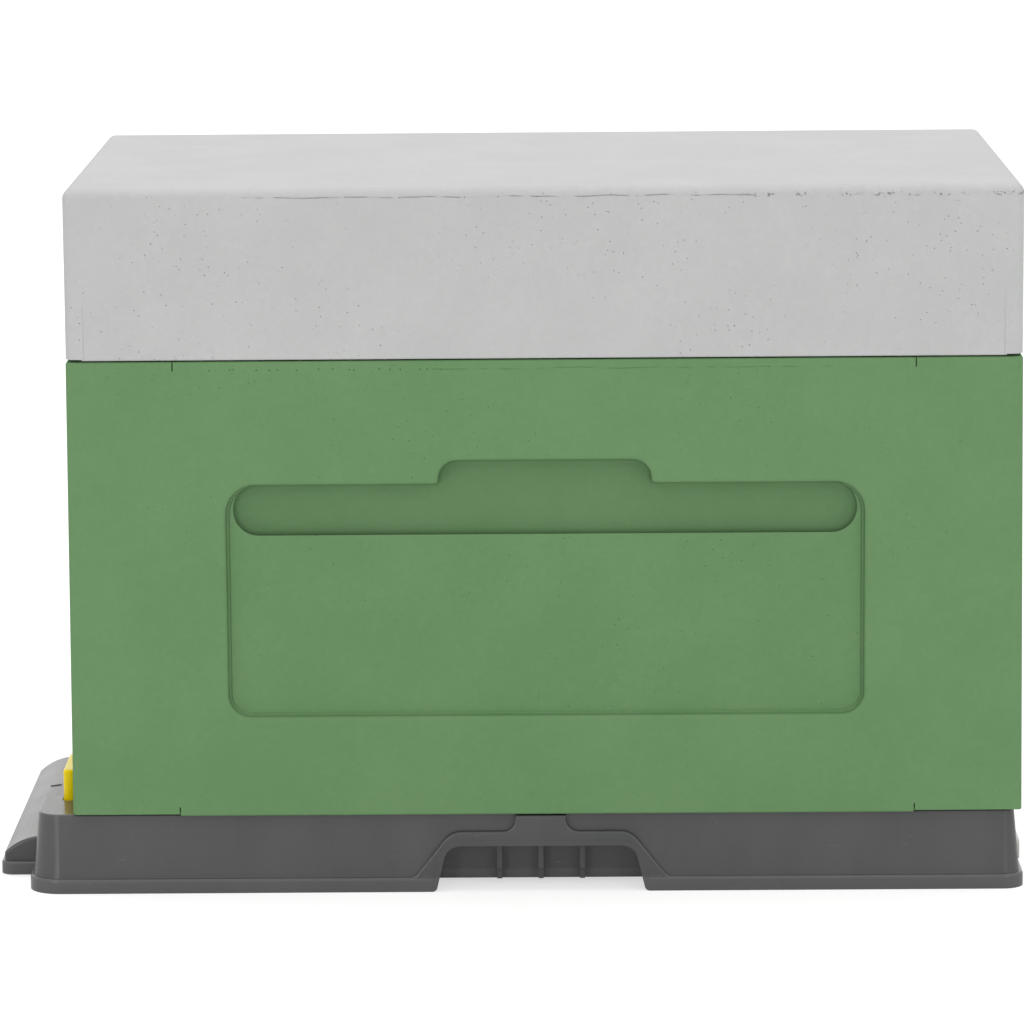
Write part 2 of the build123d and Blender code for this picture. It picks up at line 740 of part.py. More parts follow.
def top_bar(y):
    """Top bar with a lug at each end, necked for the side bars and grooved for the wax."""
    lug = top_bar_length / 2
    reach = frame_length / 2
    right = [(lug, bar_top), (lug, lug_seat), (reach, lug_seat), (reach, bar_under)]
    left = [(-x, z) for x, z in reversed(right)]
    with BuildPart() as bar:
        with BuildSketch(cross_section(y)):
            with BuildLine():
                Polyline(*right, *left, close=True)
            make_face()
        extrude(amount=top_bar_width / 2, both=True)
        fillet(bar.edges().filter_by(Axis.X).group_by(Axis.Z)[-1], bar_round)
        neck_length = side_bar_thick + wood_gap
        neck_depth = (top_bar_width - neck_width) / 2
        with BuildSketch(level(bar_under)):
            with Locations((0, y)):
                with GridLocations(frame_length - neck_length, top_bar_width - neck_depth, 2, 2):
                    Rectangle(neck_length, neck_depth)
        extrude(amount=lug_seat - bar_under, mode=Mode.SUBTRACT)
        with BuildSketch(level(bar_under)):
            with Locations((0, y)):
                Rectangle(frame_length - 2 * side_bar_thick, wax_thick + 2 * wood_gap)
        extrude(amount=wax_groove + wood_gap, mode=Mode.SUBTRACT)
    return bar.part


def side_bar(y, end):
    """Side bar with wide shoulders, forked for the top bar and slotted for the bottom bar."""
    shoulder_foot = lug_seat - shoulder_height
    right = [
        (neck_width / 2 + wood_gap, bar_under),
        (neck_width / 2 + wood_gap, lug_seat),
        (shoulder_width / 2, lug_seat),
        (shoulder_width / 2, shoulder_foot),
        (side_bar_width / 2, shoulder_foot - shoulder_slope),
        (side_bar_width / 2, frame_foot),
        (bottom_bar_width / 2 + wood_gap, frame_foot),
        (bottom_bar_width / 2 + wood_gap, frame_foot + bottom_bar_depth),
    ]
    left = [(-x, z) for x, z in reversed(right)]
    with BuildPart() as bar:
        with BuildSketch(end_section(end * (frame_length - side_bar_thick) / 2)):
            with BuildLine():
                Polyline(*[(y + x, z) for x, z in right + left], close=True)
            make_face()
            with Locations(*[(y, z) for z in wire_places]):
                Circle(wire_radius + wire_gap, mode=Mode.SUBTRACT)
        extrude(amount=side_bar_thick / 2, both=True)
    return bar.part


def bottom_bar(y):
    """Bottom bar with a groove for the wax."""
    with BuildPart() as bar:
        with BuildSketch(level(frame_foot)):
            with Locations((0, y)):
                Rectangle(frame_length, bottom_bar_width)
        extrude(amount=bottom_bar_depth)
        with BuildSketch(level(frame_foot + bottom_bar_depth)):
            with Locations((0, y)):
                Rectangle(frame_length - 2 * side_bar_thick, wax_thick + 2 * wood_gap)
        extrude(amount=-wax_groove - wood_gap, mode=Mode.SUBTRACT)
    return bar.part


def wax_sheet(y):
    """Wax foundation, with the bores of the wires that are melted into it."""
    length = frame_length - 2 * (side_bar_thick + wax_end_gap)
    low = frame_foot + bottom_bar_depth - wax_groove
    high = bar_under + wax_groove
    with BuildPart() as sheet:
        with BuildSketch(end_section(0)):
            with Locations((y, (low + high) / 2)):
                Rectangle(wax_thick, high - low)
            with Locations(*[(y, z) for z in wire_places]):
                Circle(wire_radius + wire_gap, mode=Mode.SUBTRACT)
        extrude(amount=length / 2, both=True)
    return sheet.part


def frame_wires(y):
    """Straight wires from side bar to side bar."""
    with BuildPart() as wires:
        with BuildSketch(end_section(0)):
            with Locations(*[(y, z) for z in wire_places]):
                Circle(wire_radius)
        extrude(amount=frame_length / 2, both=True)
    return wires.part


for number, y in enumerate(spread(frame_count, (frame_count - 1) * frame_pitch), 1):
    save(top_bar(y), f"frame_{number}_top_bar")
    save(side_bar(y, -1), f"frame_{number}_side_bar_entrance")
    save(side_bar(y, 1), f"frame_{number}_side_bar_rear")
    save(bottom_bar(y), f"frame_{number}_bottom_bar")
    save(wax_sheet(y), f"frame_{number}_wax_sheet")
    save(frame_wires(y), f"frame_{number}_wires")

# Crown sheet: a clear cover that lies on the top bars
with BuildPart() as crown_sheet:
    with BuildSketch(level(bar_top)):
        RectangleRounded(rebate_length - 2 * sheet_gap, inner_width - 2 * sheet_gap, sheet_corner)
    extrude(amount=sheet_thick)
save(crown_sheet.part, "crown_sheet")

# Roof: a thick foam cap with a feed space inside and a groove over the body's tongue
with BuildPart() as roof:
    with BuildSketch(level(body_top + roof_joint)):
        RectangleRounded(body_length, body_width, roof_corner)
    extrude(amount=roof_height - roof_joint)
    fillet(roof.faces().sort_by(Axis.Z)[-1].edges(), roof_round)
    fillet(roof.faces().sort_by(Axis.Z)[0].edges(), rim_round)
    with BuildSketch(level(body_top + roof_joint)):
        with GridLocations(body_length - roof_relief, body_width - roof_relief, 2, 2):
            Rectangle(roof_relief, roof_relief)
    extrude(amount=roof_relief_height, mode=Mode.SUBTRACT)
    with BuildSketch(level(body_top)):
        RectangleRounded(body_length - 2 * tongue_inset, body_width - 2 * tongue_inset, body_corner)
    extrude(amount=roof_joint + roof_relief_height)
    with BuildSketch(level(body_top)):
        RectangleRounded(inner_length - 2 * roof_ledge, inner_width - 2 * roof_ledge, inner_corner)
    extrude(amount=roof_height - roof_top, mode=Mode.SUBTRACT)
    extrude(rim_ring(body_top, slide_gap), amount=groove_depth, mode=Mode.SUBTRACT)
save(roof.part, "roof")
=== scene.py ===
import math

import bpy
from mathutils import Matrix, Vector


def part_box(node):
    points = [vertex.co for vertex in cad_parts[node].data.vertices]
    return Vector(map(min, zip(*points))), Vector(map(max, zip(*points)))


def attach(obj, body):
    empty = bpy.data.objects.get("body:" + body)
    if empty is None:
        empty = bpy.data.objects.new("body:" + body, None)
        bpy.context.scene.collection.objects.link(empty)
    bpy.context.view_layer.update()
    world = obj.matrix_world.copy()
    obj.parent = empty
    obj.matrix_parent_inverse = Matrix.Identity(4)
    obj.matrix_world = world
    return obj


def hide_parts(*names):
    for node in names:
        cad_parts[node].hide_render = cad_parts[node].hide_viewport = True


# Polystyrene nucleus hive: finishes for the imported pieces, pressed wax for the frames, a white studio.
# The scene is in metres and the settings in millimetres, unless they say otherwise. X runs along the frames
# with the entrance at -X, and the photographed long side faces -Y.

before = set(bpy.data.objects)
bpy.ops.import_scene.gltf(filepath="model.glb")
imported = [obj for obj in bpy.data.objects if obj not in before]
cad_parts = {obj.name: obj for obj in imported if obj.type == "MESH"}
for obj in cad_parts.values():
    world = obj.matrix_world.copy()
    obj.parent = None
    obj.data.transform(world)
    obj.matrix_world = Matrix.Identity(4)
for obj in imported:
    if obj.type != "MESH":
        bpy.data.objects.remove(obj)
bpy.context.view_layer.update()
scene = bpy.context.scene
mm = 0.001

bodyHeight = 249.0                             # from the body's foot to its highest rim
bodyLow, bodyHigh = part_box("hive_body")
roofLow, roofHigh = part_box("roof")
hiveX = (bodyLow.x + bodyHigh.x) / 2           # middle of the body, off the origin because of the landing board
seat = bodyHigh.z - bodyHeight * mm            # where the body's foot stands on the floor

# node settings that come up all the time
plus, minus, times = ({"operation": kind} for kind in ("ADD", "SUBTRACT", "MULTIPLY"))
most, within, under = ({"operation": kind} for kind in ("MAXIMUM", "COMPARE", "LESS_THAN"))
unsigned = {"operation": "ABSOLUTE"}
twoColours = {"data_type": "RGBA"}


def linear(hexColour):
    # sRGB hex to the linear values that shaders take
    channels = [int(hexColour[i:i + 2], 16) / 255 for i in (1, 3, 5)]
    return [c / 12.92 if c <= 0.04045 else ((c + 0.055) / 1.055) ** 2.4 for c in channels] + [1.0]


def addNode(owner, kind, settings={}, sockets={}):
    # settings are the node's properties; a socket takes a number, a colour, a node or one of its outputs.
    # MapRange takes the value in 0, the range it comes from in 1 and 2, and the range it goes to in 3 and 4.
    # Mix takes its two colours in 6 and 7.
    node = owner.node_tree.nodes.new("ShaderNode" + kind)
    for name, value in settings.items():
        setattr(node, name, value)
    for name, value in sockets.items():
        if isinstance(value, bpy.types.Node):
            value = value.outputs[0]
        if isinstance(value, bpy.types.NodeSocket):
            owner.node_tree.links.new(value, node.inputs[name])
        else:
            node.inputs[name].default_value = value
    return node


def blankNodes(owner):
    owner.use_nodes = True
    owner.node_tree.nodes.clear()
    return owner


def startMaterial(name):
    material = blankNodes(bpy.data.materials.new(name))
    place = addNode(material, "TexCoord").outputs["Object"]
    return material, place


def finishMaterial(material, colour, roughness, height=None, passes=None, **fixed):
    # height is a bump in millimetres; passes is the tint of light that goes straight through;
    # fixed values go straight to the shader's own sockets
    shader = addNode(material, "BsdfPrincipled", {}, {"Base Color": colour, "Roughness": roughness})
    for name, value in fixed.items():
        shader.inputs[name.replace("_", " ")].default_value = value
    if height is not None:
        bump = addNode(material, "Bump", {}, {"Height": height, "Strength": 1.0, "Distance": mm})
        material.node_tree.links.new(bump.outputs[0], shader.inputs["Normal"])
    if passes is not None:
        path = addNode(material, "LightPath")
        lighting = addNode(material, "Math", most,
                           {0: path.outputs["Is Shadow Ray"], 1: path.outputs["Is Diffuse Ray"]})
        through = addNode(material, "BsdfTransparent", {}, {"Color": passes})
        shader = addNode(material, "MixShader", {}, {0: lighting, 1: shader, 2: through})
    addNode(material, "OutputMaterial", {}, {"Surface": shader})
    return material


def dress(material, *names):
    # a CAD node keeps its mesh and takes one finish
    for name in names:
        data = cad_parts[name].data
        data.materials.clear()
        data.materials.append(material)


def middleAndHalf(low, high):
    return (low + high) / 2 * mm, (high - low) / 2 * mm


# Moulded expanded polystyrene: fused beads a few millimetres wide, pinholes where they didn't close,
# and broken marks where the mould's halves met. Matt, a little smoother where it is painted.
# Spans run along X from the hive's middle, and heights (parting, footDots, seamTop) are in metres.
greenFoam = {
    "colour": "#6f9367", "shade": "#6a8f62", "pit": "#456b40", "roughness": 0.8,
    "bead": 3.4, "holePitch": 4.3, "holeRadius": 0.29, "holeShare": 0.4,
    "parting": bodyHigh.z - 10.6 * mm, "dotPitch": 8.0, "dotRadius": 0.42, "dotSpan": (-185.0, -48.0),
    "hairline": 0.35, "hairSpan": (-60.0, 155.0), "footDots": seat + 5.5 * mm, "recessShaded": True,
}
greyFoam = {
    "colour": "#c4c5c4", "shade": "#bfc0bf", "pit": "#85878a", "roughness": 0.85,
    "bead": 3.8, "holePitch": 3.5, "holeRadius": 0.34, "holeShare": 0.45,
    "parting": roofHigh.z - 5.1 * mm, "dotPitch": 24.0, "dotRadius": 0.4, "dotSpan": (-150.0, 110.0),
    "hairline": 0.6, "hairSpan": (-165.0, 112.0), "crumbs": 0.9, "crumbsFrom": (100.0, 118.0),
    "seam": 0.22, "seamAt": 246.5, "seamHalf": 0.25, "seamFade": 35.0, "seamTop": roofLow.z + 45 * mm,
}
foamGrain = {
    "beadDepth": 0.03, "cloud": 45.0, "patch": 60.0, "cluster": 9.0, "crumb": 1.5, "crumbReach": (1.3, 0.3),
    "wander": 25.0, "wanderBy": 1.2, "hairReach": (0.34, 0.1), "dotShare": 0.9,
    "grain": 0.9, "grainDepth": 0.02, "pitDepth": 0.5, "gloss": 0.12,
}


def fusedBeads(material, place, look):
    # each bead is a touch lighter or darker, with a fine valley round it
    scale = 1 / (look["bead"] * mm)
    bead = addNode(material, "TexVoronoi", {}, {"Vector": place, "Scale": scale})
    valley = addNode(material, "TexVoronoi", {"feature": "DISTANCE_TO_EDGE"}, {"Vector": place, "Scale": scale})
    cloud = addNode(material, "TexNoise", {},
                    {"Vector": place, "Scale": 1 / (foamGrain["cloud"] * mm), "Detail": 4.0})
    beadTone = addNode(material, "MapRange", {}, {0: bead.outputs["Color"], 4: 0.6})
    cloudTone = addNode(material, "MapRange", {}, {0: cloud, 1: 0.35, 2: 0.65, 4: 0.7})
    tone = addNode(material, "Math", {"operation": "ADD", "use_clamp": True}, {0: beadTone, 1: cloudTone})
    colour = addNode(material, "Mix", twoColours,
                     {"Factor": tone, 6: linear(look["colour"]), 7: linear(look["shade"])})
    lift = addNode(material, "MapRange", {}, {0: valley, 2: 0.16, 3: -foamGrain["beadDepth"], 4: 0.0})
    return colour.outputs[2], lift


def pinholes(material, place, look):
    # thicker in some patches than in others
    hole = addNode(material, "TexVoronoi", {}, {"Vector": place, "Scale": 1 / (look["holePitch"] * mm)})
    reach = look["holeRadius"] / look["holePitch"]
    roundMask = addNode(material, "MapRange", {}, {0: hole, 1: reach, 2: reach * 0.45})
    patch = addNode(material, "TexNoise", {},
                    {"Vector": place, "Scale": 1 / (foamGrain["patch"] * mm), "Detail": 2.0})
    patchMask = addNode(material, "MapRange", {}, {0: patch, 1: 0.42, 2: 0.56, 3: 0.1})
    kept = addNode(material, "Math", under, {0: hole.outputs["Color"], 1: look["holeShare"]})
    openMask = addNode(material, "Math", times, {0: patchMask, 1: kept})
    holes = addNode(material, "Math", times, {0: roundMask, 1: openMask})
    return holes, openMask


def dotRow(material, aside, offset, look):
    # round dots on a level line: aside and offset are the distances to a dot along the line and up
    apart = addNode(material, "CombineXYZ", {}, {0: aside, 1: offset})
    gap = addNode(material, "VectorMath", {"operation": "LENGTH"}, {0: apart}).outputs["Value"]
    reach = look["dotRadius"] * mm
    return addNode(material, "MapRange", {}, {0: gap, 1: reach, 2: reach * 0.4, 4: foamGrain["dotShare"]})


def partingMarks(material, place, split, along, aside, look):
    # where the mould's halves met: a wandering hairline, single dots on it, and crumbs towards one end
    wander = addNode(material, "TexNoise", {},
                     {"Vector": place, "Scale": 1 / (foamGrain["wander"] * mm), "Detail": 3.0})
    drift = foamGrain["wanderBy"] * mm
    level = addNode(material, "MapRange", {}, {0: wander, 3: look["parting"] - drift, 4: look["parting"] + drift})
    offset = addNode(material, "Math", minus, {0: split.outputs["Z"], 1: level})
    away = addNode(material, "Math", unsigned, {0: offset})
    cluster = addNode(material, "TexNoise", {},
                      {"Vector": place, "Scale": 1 / (foamGrain["cluster"] * mm), "Detail": 1.0})

    outer, inner = foamGrain["hairReach"]
    thin = addNode(material, "MapRange", {}, {0: away, 1: outer * mm, 2: inner * mm, 4: look["hairline"]})
    middle, half = middleAndHalf(*look["hairSpan"])
    hairHere = addNode(material, "Math", within, {0: along, 1: middle, 2: half})
    hairMask = addNode(material, "Math", times, {0: thin, 1: hairHere})
    opened = addNode(material, "MapRange", {}, {0: cluster, 1: 0.4, 2: 0.56, 3: 0.1})
    hairline = addNode(material, "Math", times, {0: hairMask, 1: opened})

    middle, half = middleAndHalf(*look["dotSpan"])
    dotHere = addNode(material, "Math", within, {0: along, 1: middle, 2: half})
    dots = addNode(material, "Math", times, {0: dotRow(material, aside, offset, look), 1: dotHere})
    marks = addNode(material, "Math", most, {0: hairline, 1: dots})
    if "crumbs" not in look:
        return marks

    outer, inner = foamGrain["crumbReach"]
    beside = addNode(material, "MapRange", {}, {0: away, 1: outer * mm, 2: inner * mm, 4: look["crumbs"]})
    start, full = look["crumbsFrom"]
    farEnd = addNode(material, "MapRange", {}, {0: along, 1: start * mm, 2: full * mm})
    loose = addNode(material, "Math", times, {0: beside, 1: farEnd})
    crowded = addNode(material, "MapRange", {}, {0: cluster, 1: 0.52, 2: 0.62})
    gathered = addNode(material, "Math", times, {0: loose, 1: crowded})
    crumb = addNode(material, "TexNoise", {},
                    {"Vector": place, "Scale": 1 / (foamGrain["crumb"] * mm), "Detail": 2.0})
    broken = addNode(material, "MapRange", {}, {0: crumb, 1: 0.53, 2: 0.6})
    crumbs = addNode(material, "Math", times, {0: gathered, 1: broken})
    return addNode(material, "Math", most, {0: marks, 1: crumbs})


def uprightSeams(material, split, outward, look):
    # faint seams near the corners, gone by half the height
    gap = addNode(material, "Math", within, {0: outward, 1: look["seamAt"] * mm, 2: look["seamHalf"] * mm})
    fade = look["seamTop"] - look["seamFade"] * mm
    below = addNode(material, "MapRange", {},
                    {0: split.outputs["Z"], 1: fade, 2: look["seamTop"], 3: look["seam"], 4: 0.0})
    return addNode(material, "Math", times, {0: gap, 1: below})


# Painted shade: the recess's steep edges and rims are painted a darker green than its flat parts, where shade
# falls, and less so low down.
# The recess is given from the long wall's middle and from the ground; shares gives the painted shade by the
# distance from the hive's middle plane.
recessShade = {
    "colour": "#476041", "half": 178.0, "foot": 92.0, "top": 243.0, "fadeBelow": (101.0, 106.0), "fadeBelowShare": 0.25,
    "span": (139.0, 151.0),
    "shares": [(139.5, 0.15), (141.0, 0.36), (144.0, 0.6), (145.8, 0.85), (145.95, 0.03), (146.05, 0.03),
               (146.2, 0.45), (147.3, 0.5), (147.5, 0.15), (147.7, 0.15), (147.9, 0.7), (148.9, 0.6), (149.8, 0.0)],
}


# painted shade: darker on the recess's steep edges and rims, lighter on its flat parts and low down
def shadedRecess(material, split, outward, colour):
    low, high = recessShade["span"]
    fromMiddle = addNode(material, "Math", unsigned, {0: split.outputs["Y"]})
    depth = addNode(material, "MapRange", {}, {0: fromMiddle, 1: low * mm, 2: high * mm})
    ramp = addNode(material, "ValToRGB", {}, {0: depth})
    stops = ramp.color_ramp.elements
    stops.remove(stops[1])
    stops[0].color = (0.0, 0.0, 0.0, 1.0)
    for at, share in recessShade["shares"]:
        stop = stops.new((at - low) / (high - low))
        stop.color = (share, share, share, 1.0)
    beside = addNode(material, "Math", under, {0: outward, 1: recessShade["half"] * mm})
    middle, half = middleAndHalf(recessShade["foot"], recessShade["top"])
    between = addNode(material, "Math", within, {0: split.outputs["Z"], 1: middle, 2: half})
    start, end = recessShade["fadeBelow"]
    rising = addNode(material, "MapRange", {},
                     {0: split.outputs["Z"], 1: start * mm, 2: end * mm, 3: recessShade["fadeBelowShare"]})
    upright = addNode(material, "Math", times, {0: between, 1: rising})
    inside = addNode(material, "Math", times, {0: beside, 1: upright})
    paintedShade = addNode(material, "Math", times, {0: inside, 1: ramp})
    shaded = addNode(material, "Mix", twoColours, {"Factor": paintedShade, 6: colour, 7: linear(recessShade["colour"])})
    return shaded.outputs[2]


def foam(name, look):
    material, place = startMaterial(name)
    split = addNode(material, "SeparateXYZ", {}, {0: place})
    along = addNode(material, "Math", minus, {0: split.outputs["X"], 1: hiveX})
    outward = addNode(material, "Math", unsigned, {0: along})
    base, valleyLift = fusedBeads(material, place, look)
    holes, openMask = pinholes(material, place, look)

    # single dots a pitch apart, counted round the hive
    girth = addNode(material, "Math", plus, {0: split.outputs["X"], 1: split.outputs["Y"]})
    pitch = look["dotPitch"] * mm
    bubble = addNode(material, "TexVoronoi", {"voronoi_dimensions": "1D"}, {"W": girth, "Scale": 1 / pitch})
    aside = addNode(material, "Math", times, {0: bubble, 1: pitch})

    marks = partingMarks(material, place, split, along, aside, look)
    if "seam" in look:
        marks = addNode(material, "Math", most, {0: marks, 1: uprightSeams(material, split, outward, look)})
    pits = addNode(material, "Math", most, {0: holes, 1: marks})
    colour = addNode(material, "Mix", twoColours, {"Factor": pits, 6: base, 7: linear(look["pit"])}).outputs[2]
    if "footDots" in look:
        offset = addNode(material, "Math", minus, {0: split.outputs["Z"], 1: look["footDots"]})
        dots = addNode(material, "Math", times, {0: dotRow(material, aside, offset, look), 1: openMask})
        dotted = addNode(material, "Mix", twoColours, {"Factor": dots, 6: colour, 7: linear(look["pit"])})
        colour = dotted.outputs[2]
    # the recess gets painted shade along its steep edges
    if "recessShaded" in look:
        colour = shadedRecess(material, split, outward, colour)

    grain = addNode(material, "TexNoise", {},
                    {"Vector": place, "Scale": 1 / (foamGrain["grain"] * mm), "Detail": 2.0})
    grainLift = addNode(material, "MapRange", {},
                        {0: grain, 3: -foamGrain["grainDepth"], 4: foamGrain["grainDepth"]})
    pitDrop = addNode(material, "Math", times, {0: pits, 1: -foamGrain["pitDepth"]})
    lift = addNode(material, "Math", plus, {0: valleyLift, 1: grainLift})
    height = addNode(material, "Math", plus, {0: lift, 1: pitDrop})
    return finishMaterial(material, colour, look["roughness"], height, Specular_IOR_Level=foamGrain["gloss"])


dress(foam("paintedExpandedPolystyrene", greenFoam), "hive_body")
dress(foam("bareExpandedPolystyrene", greyFoam), "roof")
print("foam finished")

# Injection-moulded polypropylene: satin, faintly clouded by the melt's flow, with rubbed and scratched spots.
# On the floor, the lip on the ground is painted paler as a painted highlight, and a dark band under the body's foot
# is a painted shadow.
floorPlastic = {
    "colour": "#505050", "flow": "#4a4a4b", "rubAndHighlight": "#7c7c7c", "roughness": 0.24, "grain": 0.5, "gloss": 0.5,
    # the lip's paler share is a painted highlight; the dark band under the body's foot is a painted shadow
    "lipHighlight": 0.2, "lipTop": (9.0, 7.0), "footShadow": 0.75, "footShadowColour": "#1c1c1c", "footShadowBelowSeat": (3.6, 1.9),
}
meshPlastic = {
    "colour": "#3d3d3f", "flow": "#37373a", "rubAndHighlight": "#5c5c5e", "roughness": 0.45, "grain": 0.6, "gloss": 0.4,
}
trayPlastic = {
    "colour": "#dfdfdb", "flow": "#d8d8d3", "rubAndHighlight": "#c2c2bc", "roughness": 0.42, "grain": 0.6, "gloss": 0.4,
}
gatePlastic = {
    "colour": "#ffe000", "flow": "#fbd800", "rubAndHighlight": "#fbe65a", "roughness": 0.26, "grain": 0.7, "gloss": 0.2,
}
moulding = {
    "flow": 28.0, "flowStretch": (1.0, 1.0, 0.3), "scratch": 0.8, "scratchTurn": (0.0, 0.5, 0.2),
    "scratchStretch": (0.12, 1.0, 1.0), "spot": 14.0, "unevenness": 0.02, "grainDepth": 0.012, "ior": 1.49,
}


def polypropylene(name, look):
    material, place = startMaterial(name)
    stretched = addNode(material, "Mapping", {}, {"Vector": place, "Scale": moulding["flowStretch"]})
    flow = addNode(material, "TexNoise", {},
                   {"Vector": stretched, "Scale": 1 / (moulding["flow"] * mm), "Detail": 5.0})
    flowTone = addNode(material, "MapRange", {}, {0: flow, 1: 0.35, 2: 0.65})
    base = addNode(material, "Mix", twoColours,
                   {"Factor": flowTone, 6: linear(look["colour"]), 7: linear(look["flow"])})

    # short scratches: thin stretched noise kept only where a coarser noise is high
    slanted = addNode(material, "Mapping", {},
                      {"Vector": place, "Rotation": moulding["scratchTurn"], "Scale": moulding["scratchStretch"]})
    scratch = addNode(material, "TexNoise", {},
                      {"Vector": slanted, "Scale": 1 / (moulding["scratch"] * mm), "Detail": 1.0})
    scratchMask = addNode(material, "MapRange", {}, {0: scratch, 1: 0.7, 2: 0.78})
    spot = addNode(material, "TexNoise", {}, {"Vector": place, "Scale": 1 / (moulding["spot"] * mm), "Detail": 2.0})
    spotMask = addNode(material, "MapRange", {}, {0: spot, 1: 0.56, 2: 0.68, 4: 0.6})
    wearAndHighlight = addNode(material, "Math", times, {0: scratchMask, 1: spotMask})
    split = addNode(material, "SeparateXYZ", {}, {0: place})
    # painted highlight: the lip on the ground is painted paler, towards the rub colour
    if "lipHighlight" in look:
        top, full = look["lipTop"]
        litLip = addNode(material, "MapRange", {},
                      {0: split.outputs["Z"], 1: top * mm, 2: full * mm, 4: look["lipHighlight"]})
        wearAndHighlight = addNode(material, "Math", most, {0: wearAndHighlight, 1: litLip})
    colour = addNode(material, "Mix", twoColours, {"Factor": wearAndHighlight, 6: base.outputs[2], 7: linear(look["rubAndHighlight"])})
    # painted shadow: a dark band on the floor's wall just under the body's foot, beside and behind the entrance end
    if "footShadow" in look:
        start, full = (seat - below * mm for below in look["footShadowBelowSeat"])
        near = addNode(material, "MapRange", {}, {0: split.outputs["Z"], 1: start, 2: full, 4: look["footShadow"]})
        behind = addNode(material, "Math", {"operation": "GREATER_THAN"}, {0: split.outputs["X"], 1: bodyLow.x})
        footShadow = addNode(material, "Math", times, {0: near, 1: behind})
        colour = addNode(material, "Mix", twoColours,
                         {"Factor": footShadow, 6: colour.outputs[2], 7: linear(look["footShadowColour"])})

    smooth, dull = (look["roughness"] + sign * moulding["unevenness"] for sign in (-1, 1))
    rough = addNode(material, "MapRange", {}, {0: flow, 1: 0.3, 2: 0.7, 3: smooth, 4: dull})
    grain = addNode(material, "TexNoise", {}, {"Vector": place, "Scale": 1 / (look["grain"] * mm), "Detail": 2.0})
    height = addNode(material, "MapRange", {}, {0: grain, 3: -moulding["grainDepth"], 4: moulding["grainDepth"]})
    return finishMaterial(material, colour.outputs[2], rough.outputs[0], height,
                          IOR=moulding["ior"], Specular_IOR_Level=look["gloss"])


dress(polypropylene("satinPolypropylene", floorPlastic), "floor_board")
dress(polypropylene("meshPolypropylene", meshPlastic), "floor_mesh")
dress(polypropylene("trayPolypropylene", trayPlastic), "inspection_tray")
dress(polypropylene("glossyPolypropylene", gatePlastic), "entrance_gate")
print("plastics finished")

# Planed pine: pale early wood with darker late-wood lines along the bar, a dry satin face.
pine = {
    "early": "#e3c797", "late": "#c99e63", "roughness": 0.58, "gloss": 0.35,
    "ring": 3.2, "run": 160.0, "fibre": 0.5, "fibreTone": 0.12, "depth": 0.05,
}


def planedPine(name, along):
    material, place = startMaterial(name)
    slow = pine["ring"] / pine["run"]
    scale = {"X": (slow, 1.0, 1.0), "Z": (1.0, 1.0, slow)}[along]
    drawn = addNode(material, "Mapping", {}, {"Vector": place, "Scale": scale})
    ring = addNode(material, "TexNoise", {},
                   {"Vector": drawn, "Scale": 1 / (pine["ring"] * mm), "Detail": 3.0, "Distortion": 0.6})
    band = addNode(material, "MapRange", {}, {0: ring, 1: 0.4, 2: 0.66})
    fibre = addNode(material, "TexNoise", {}, {"Vector": drawn, "Scale": 1 / (pine["fibre"] * mm), "Detail": 2.0})
    fibreTone = addNode(material, "MapRange", {},
                        {0: fibre, 1: 0.3, 2: 0.8, 3: -pine["fibreTone"], 4: pine["fibreTone"]})
    tone = addNode(material, "Math", {"operation": "ADD", "use_clamp": True}, {0: band, 1: fibreTone})
    colour = addNode(material, "Mix", twoColours,
                     {"Factor": tone, 6: linear(pine["early"]), 7: linear(pine["late"])})
    height = addNode(material, "MapRange", {}, {0: tone, 4: -pine["depth"]})
    return finishMaterial(material, colour.outputs[2], pine["roughness"], height, Specular_IOR_Level=pine["gloss"])


frameNumbers = range(1, 7)
pineLong = planedPine("planedPineAlong", "X")
pineUpright = planedPine("planedPineUpright", "Z")
for number in frameNumbers:
    dress(pineLong, f"frame_{number}_top_bar", f"frame_{number}_bottom_bar")
    dress(pineUpright, f"frame_{number}_side_bar_entrance", f"frame_{number}_side_bar_rear")

# Zinc and tin on steel: a grey metal with soft crystal patches on the sheet, finer on wire and screws.
zinc = {
    "light": "#bfc3c5", "dark": "#a2a7aa", "roughness": (0.26, 0.44),
    "sheetPatch": 9.0, "screwPatch": 1.5, "wirePatch": 2.0,
}


def zincCoat(name, patch):
    material, place = startMaterial(name)
    crystal = addNode(material, "TexVoronoi", {}, {"Vector": place, "Scale": 1 / (patch * mm)})
    colour = addNode(material, "Mix", twoColours,
                     {"Factor": crystal.outputs["Color"], 6: linear(zinc["light"]), 7: linear(zinc["dark"])})
    smooth, dull = zinc["roughness"]
    rough = addNode(material, "MapRange", {}, {0: crystal.outputs["Color"], 3: smooth, 4: dull})
    return finishMaterial(material, colour.outputs[2], rough.outputs[0], Metallic=1.0)


dress(zincCoat("galvanisedSheet", zinc["sheetPatch"]), "frame_rail_entrance", "frame_rail_rear")
dress(zincCoat("zincPlatedScrew", zinc["screwPatch"]), "mesh_screws", "rail_screws")
dress(zincCoat("tinnedWire", zinc["wirePatch"]), *[f"frame_{number}_wires" for number in frameNumbers])

# Clear polycarbonate: glassy, with a faint haze of wipe marks, and light falls through it on the frames.
clearSheet = {"colour": "#f2f6f5", "roughness": 0.06, "haze": 0.1, "wipe": 30.0, "ior": 1.585}


def polycarbonate(name):
    material, place = startMaterial(name)
    wipe = addNode(material, "TexNoise", {},
                   {"Vector": place, "Scale": 1 / (clearSheet["wipe"] * mm), "Detail": 5.0})
    rough = addNode(material, "MapRange", {},
                    {0: wipe, 1: 0.4, 2: 0.7, 3: clearSheet["roughness"], 4: clearSheet["haze"]})
    clear = linear(clearSheet["colour"])
    return finishMaterial(material, clear, rough.outputs[0], passes=clear,
                          Transmission_Weight=1.0, IOR=clearSheet["ior"])


